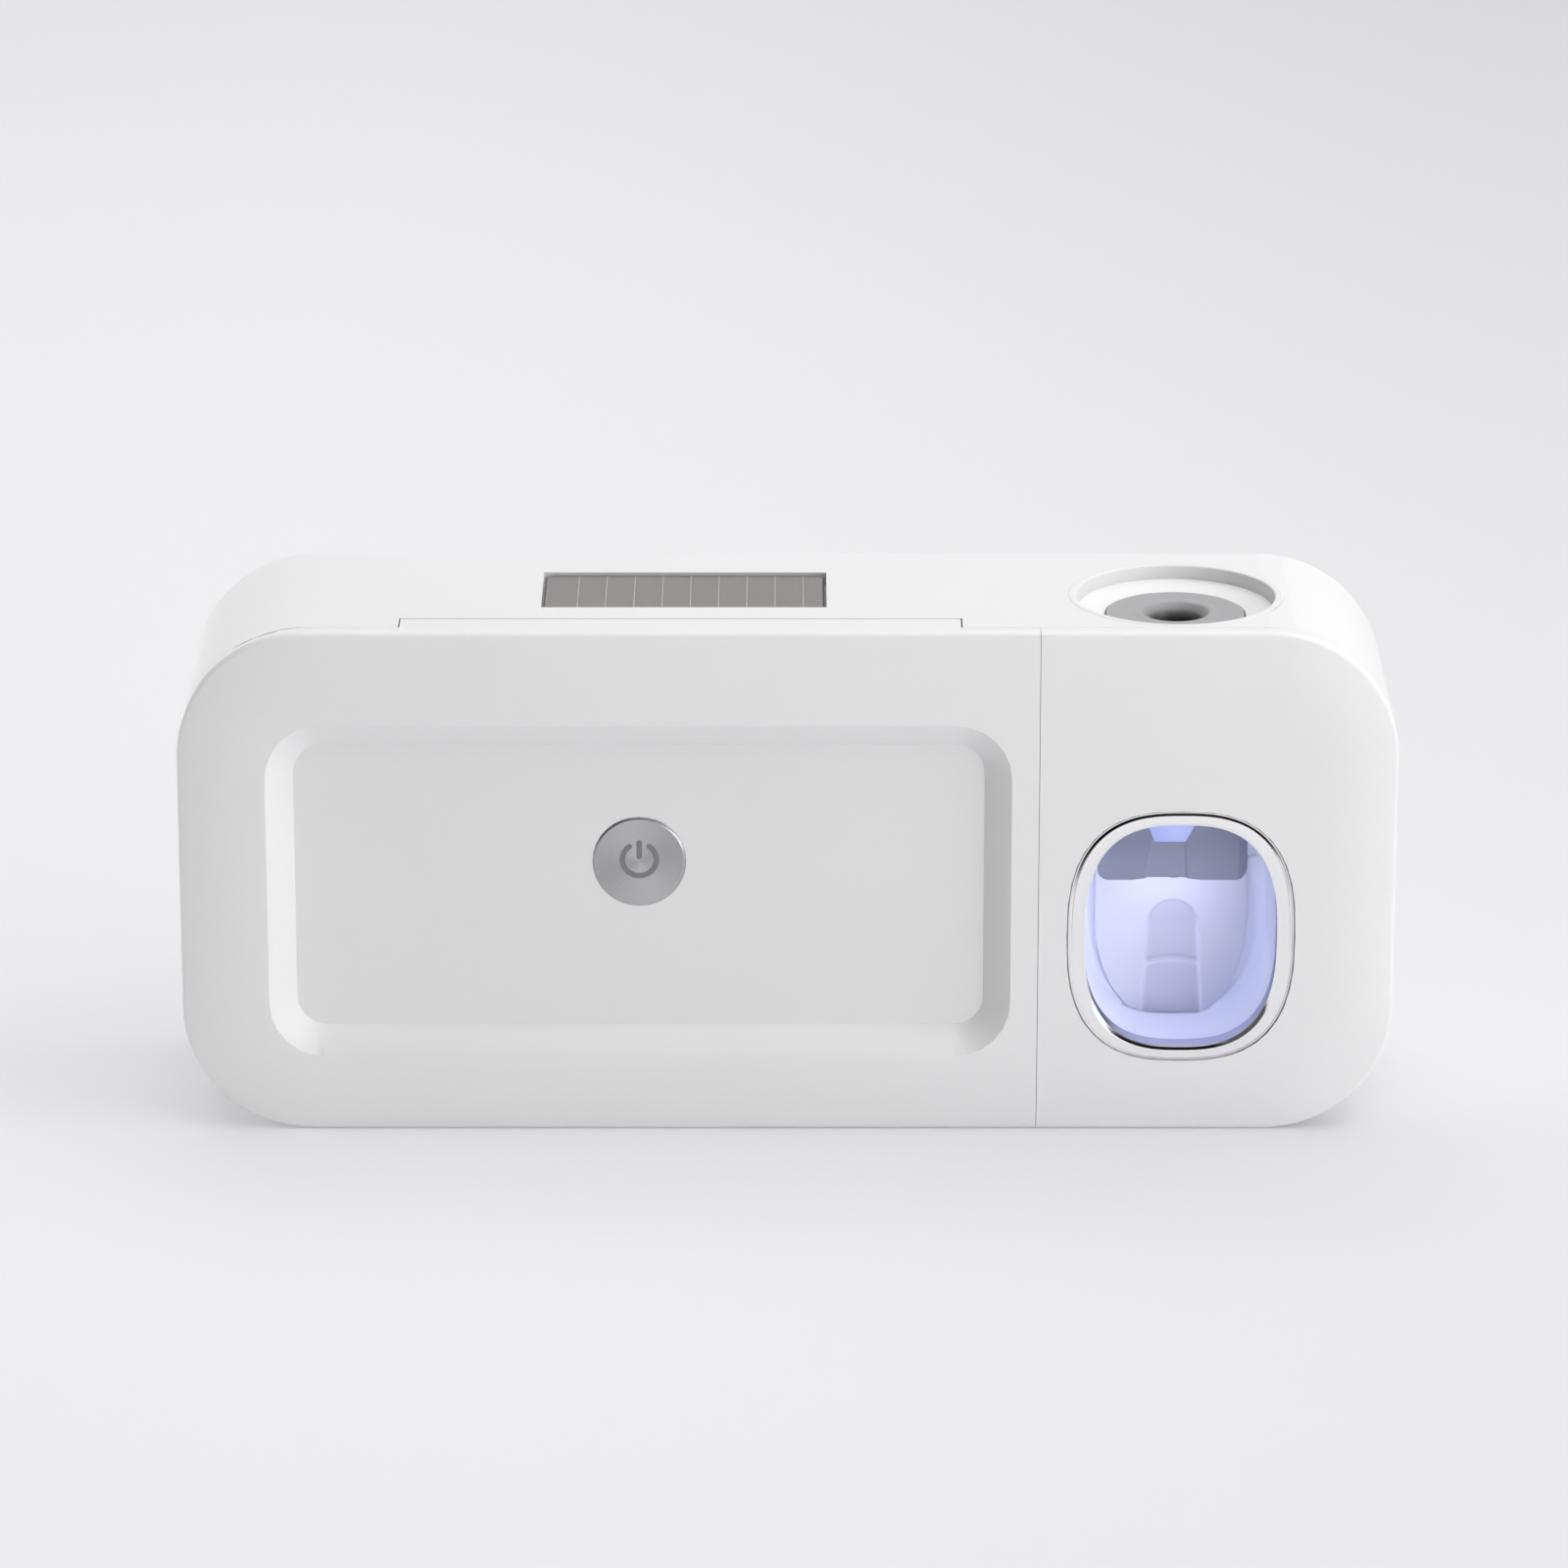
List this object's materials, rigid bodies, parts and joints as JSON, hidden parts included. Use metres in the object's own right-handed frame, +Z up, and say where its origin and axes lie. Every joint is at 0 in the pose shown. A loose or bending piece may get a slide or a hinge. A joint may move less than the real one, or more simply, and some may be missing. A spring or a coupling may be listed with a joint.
{
  "type": "toothbrush sterilizer",
  "caption": "Wall-hung or standing toothbrush sterilizer with a top-hinged door, UV lamp, solar panel and a toothpaste dispenser worked by a push plate",
  "frame": {"origin": "centre of the underside's bounding box, on the surface the case stands on", "axes": "+X to the right as seen from the front, along the length; +Y to the back, towards the wall; +Z up"},
  "size_m": [0.245, 0.0562, 0.1058],
  "materials": {
    "casing_white": "fine satin moulding",
    "panel_white": "smooth satin",
    "liner_white": "gloss",
    "pump_grey": "satin",
    "silicone": "matt",
    "chrome": "satin chrome",
    "button_metal": "circular brushed",
    "steel": "plain",
    "reflector": "bright",
    "solar_cell": "resin-covered cell",
    "holder_black": "moulded",
    "board_green": "circuit board",
    "cell_sleeve": "shrink sleeve",
    "lens": "clear tinted",
    "lamp_glass": "clear"
  },
  "bodies": {
    "casing": {"main_housing": "casing_white", "slot_comb": "casing_white", "funnel_cup": "casing_white", "back_cover": "casing_white", "back_cover_screw_1": "steel", "back_cover_screw_2": "steel", "back_cover_screw_3": "steel", "back_cover_screw_4": "steel", "inner_panel": "casing_white", "inner_panel_screw_1": "steel", "inner_panel_screw_2": "steel", "inner_panel_screw_3": "steel", "inner_panel_screw_4": "steel", "brush_rack": "casing_white", "uv_lamp_tube": "lamp_glass", "lamp_cap_left": "silicone", "lamp_cap_right": "silicone", "lamp_reflector": "reflector", "solar_panel": "solar_cell", "main_board": "board_green", "cell_holder": "holder_black", "battery_cell": "cell_sleeve", "charge_board": "board_green", "charging_socket": "steel", "housing_magnet_1": "steel", "housing_magnet_2": "steel", "hinge_pin_left": "steel", "hinge_pin_right": "steel", "dispenser_cover": "casing_white", "dispenser_cover_screw_1": "steel", "dispenser_cover_screw_2": "steel", "dispenser_cover_screw_3": "steel", "dispenser_cover_screw_4": "steel", "window_trim_ring": "chrome", "cavity_liner": "liner_white", "pump_block": "pump_grey", "pump_screw_1": "steel", "pump_screw_2": "steel", "inlet_valve": "silicone", "outlet_valve": "silicone", "uv_led_lens": "lens", "led_board": "board_green", "plunger_spring": "steel", "lever_pin": "steel", "tube_collar": "casing_white", "funnel_seal": "silicone"},
    "door": {"door_frame": "casing_white", "door_panel": "panel_white", "door_inner_cover": "casing_white", "door_cover_screw_1": "steel", "door_cover_screw_2": "steel", "door_cover_screw_3": "steel", "door_cover_screw_4": "steel", "door_magnet_1": "steel", "door_magnet_2": "steel", "switch_board": "board_green"},
    "button": {"power_button": "button_metal"},
    "lever": {"push_plate": "casing_white"},
    "piston": {"plunger": "casing_white", "plunger_seal": "silicone"}
  },
  "joints": [
    {"name": "door_hinge", "type": "hinge", "parent": "casing", "child": "door", "pos_m": [-0.02985, -0.0192, 0.1035], "axis": [-1, 0, 0], "range_deg": [0, 90]},
    {"name": "power_button_press", "type": "slide", "parent": "door", "child": "button", "axis": [0, 1, 0], "range_m": [0, 0.0005], "stiffness_N_per_m": 300, "springref_m": -0.001},
    {"name": "push_plate_pivot", "type": "hinge", "parent": "casing", "child": "lever", "pos_m": [0.0785, 0.0035, 0.0465], "axis": [1, 0, 0], "range_deg": [0, 12], "stiffness_Nm_per_rad": 0.02, "springref_deg": -11.46},
    {"name": "plunger_stroke", "type": "slide", "parent": "casing", "child": "piston", "axis": [0, -1, 0], "range_m": [0, 0.002], "deforming": ["plunger_spring"]}
  ],
  "couplings": [
    {"joint": "plunger_stroke", "follows": "push_plate_pivot", "m_per_rad": 0.0094}
  ]
}
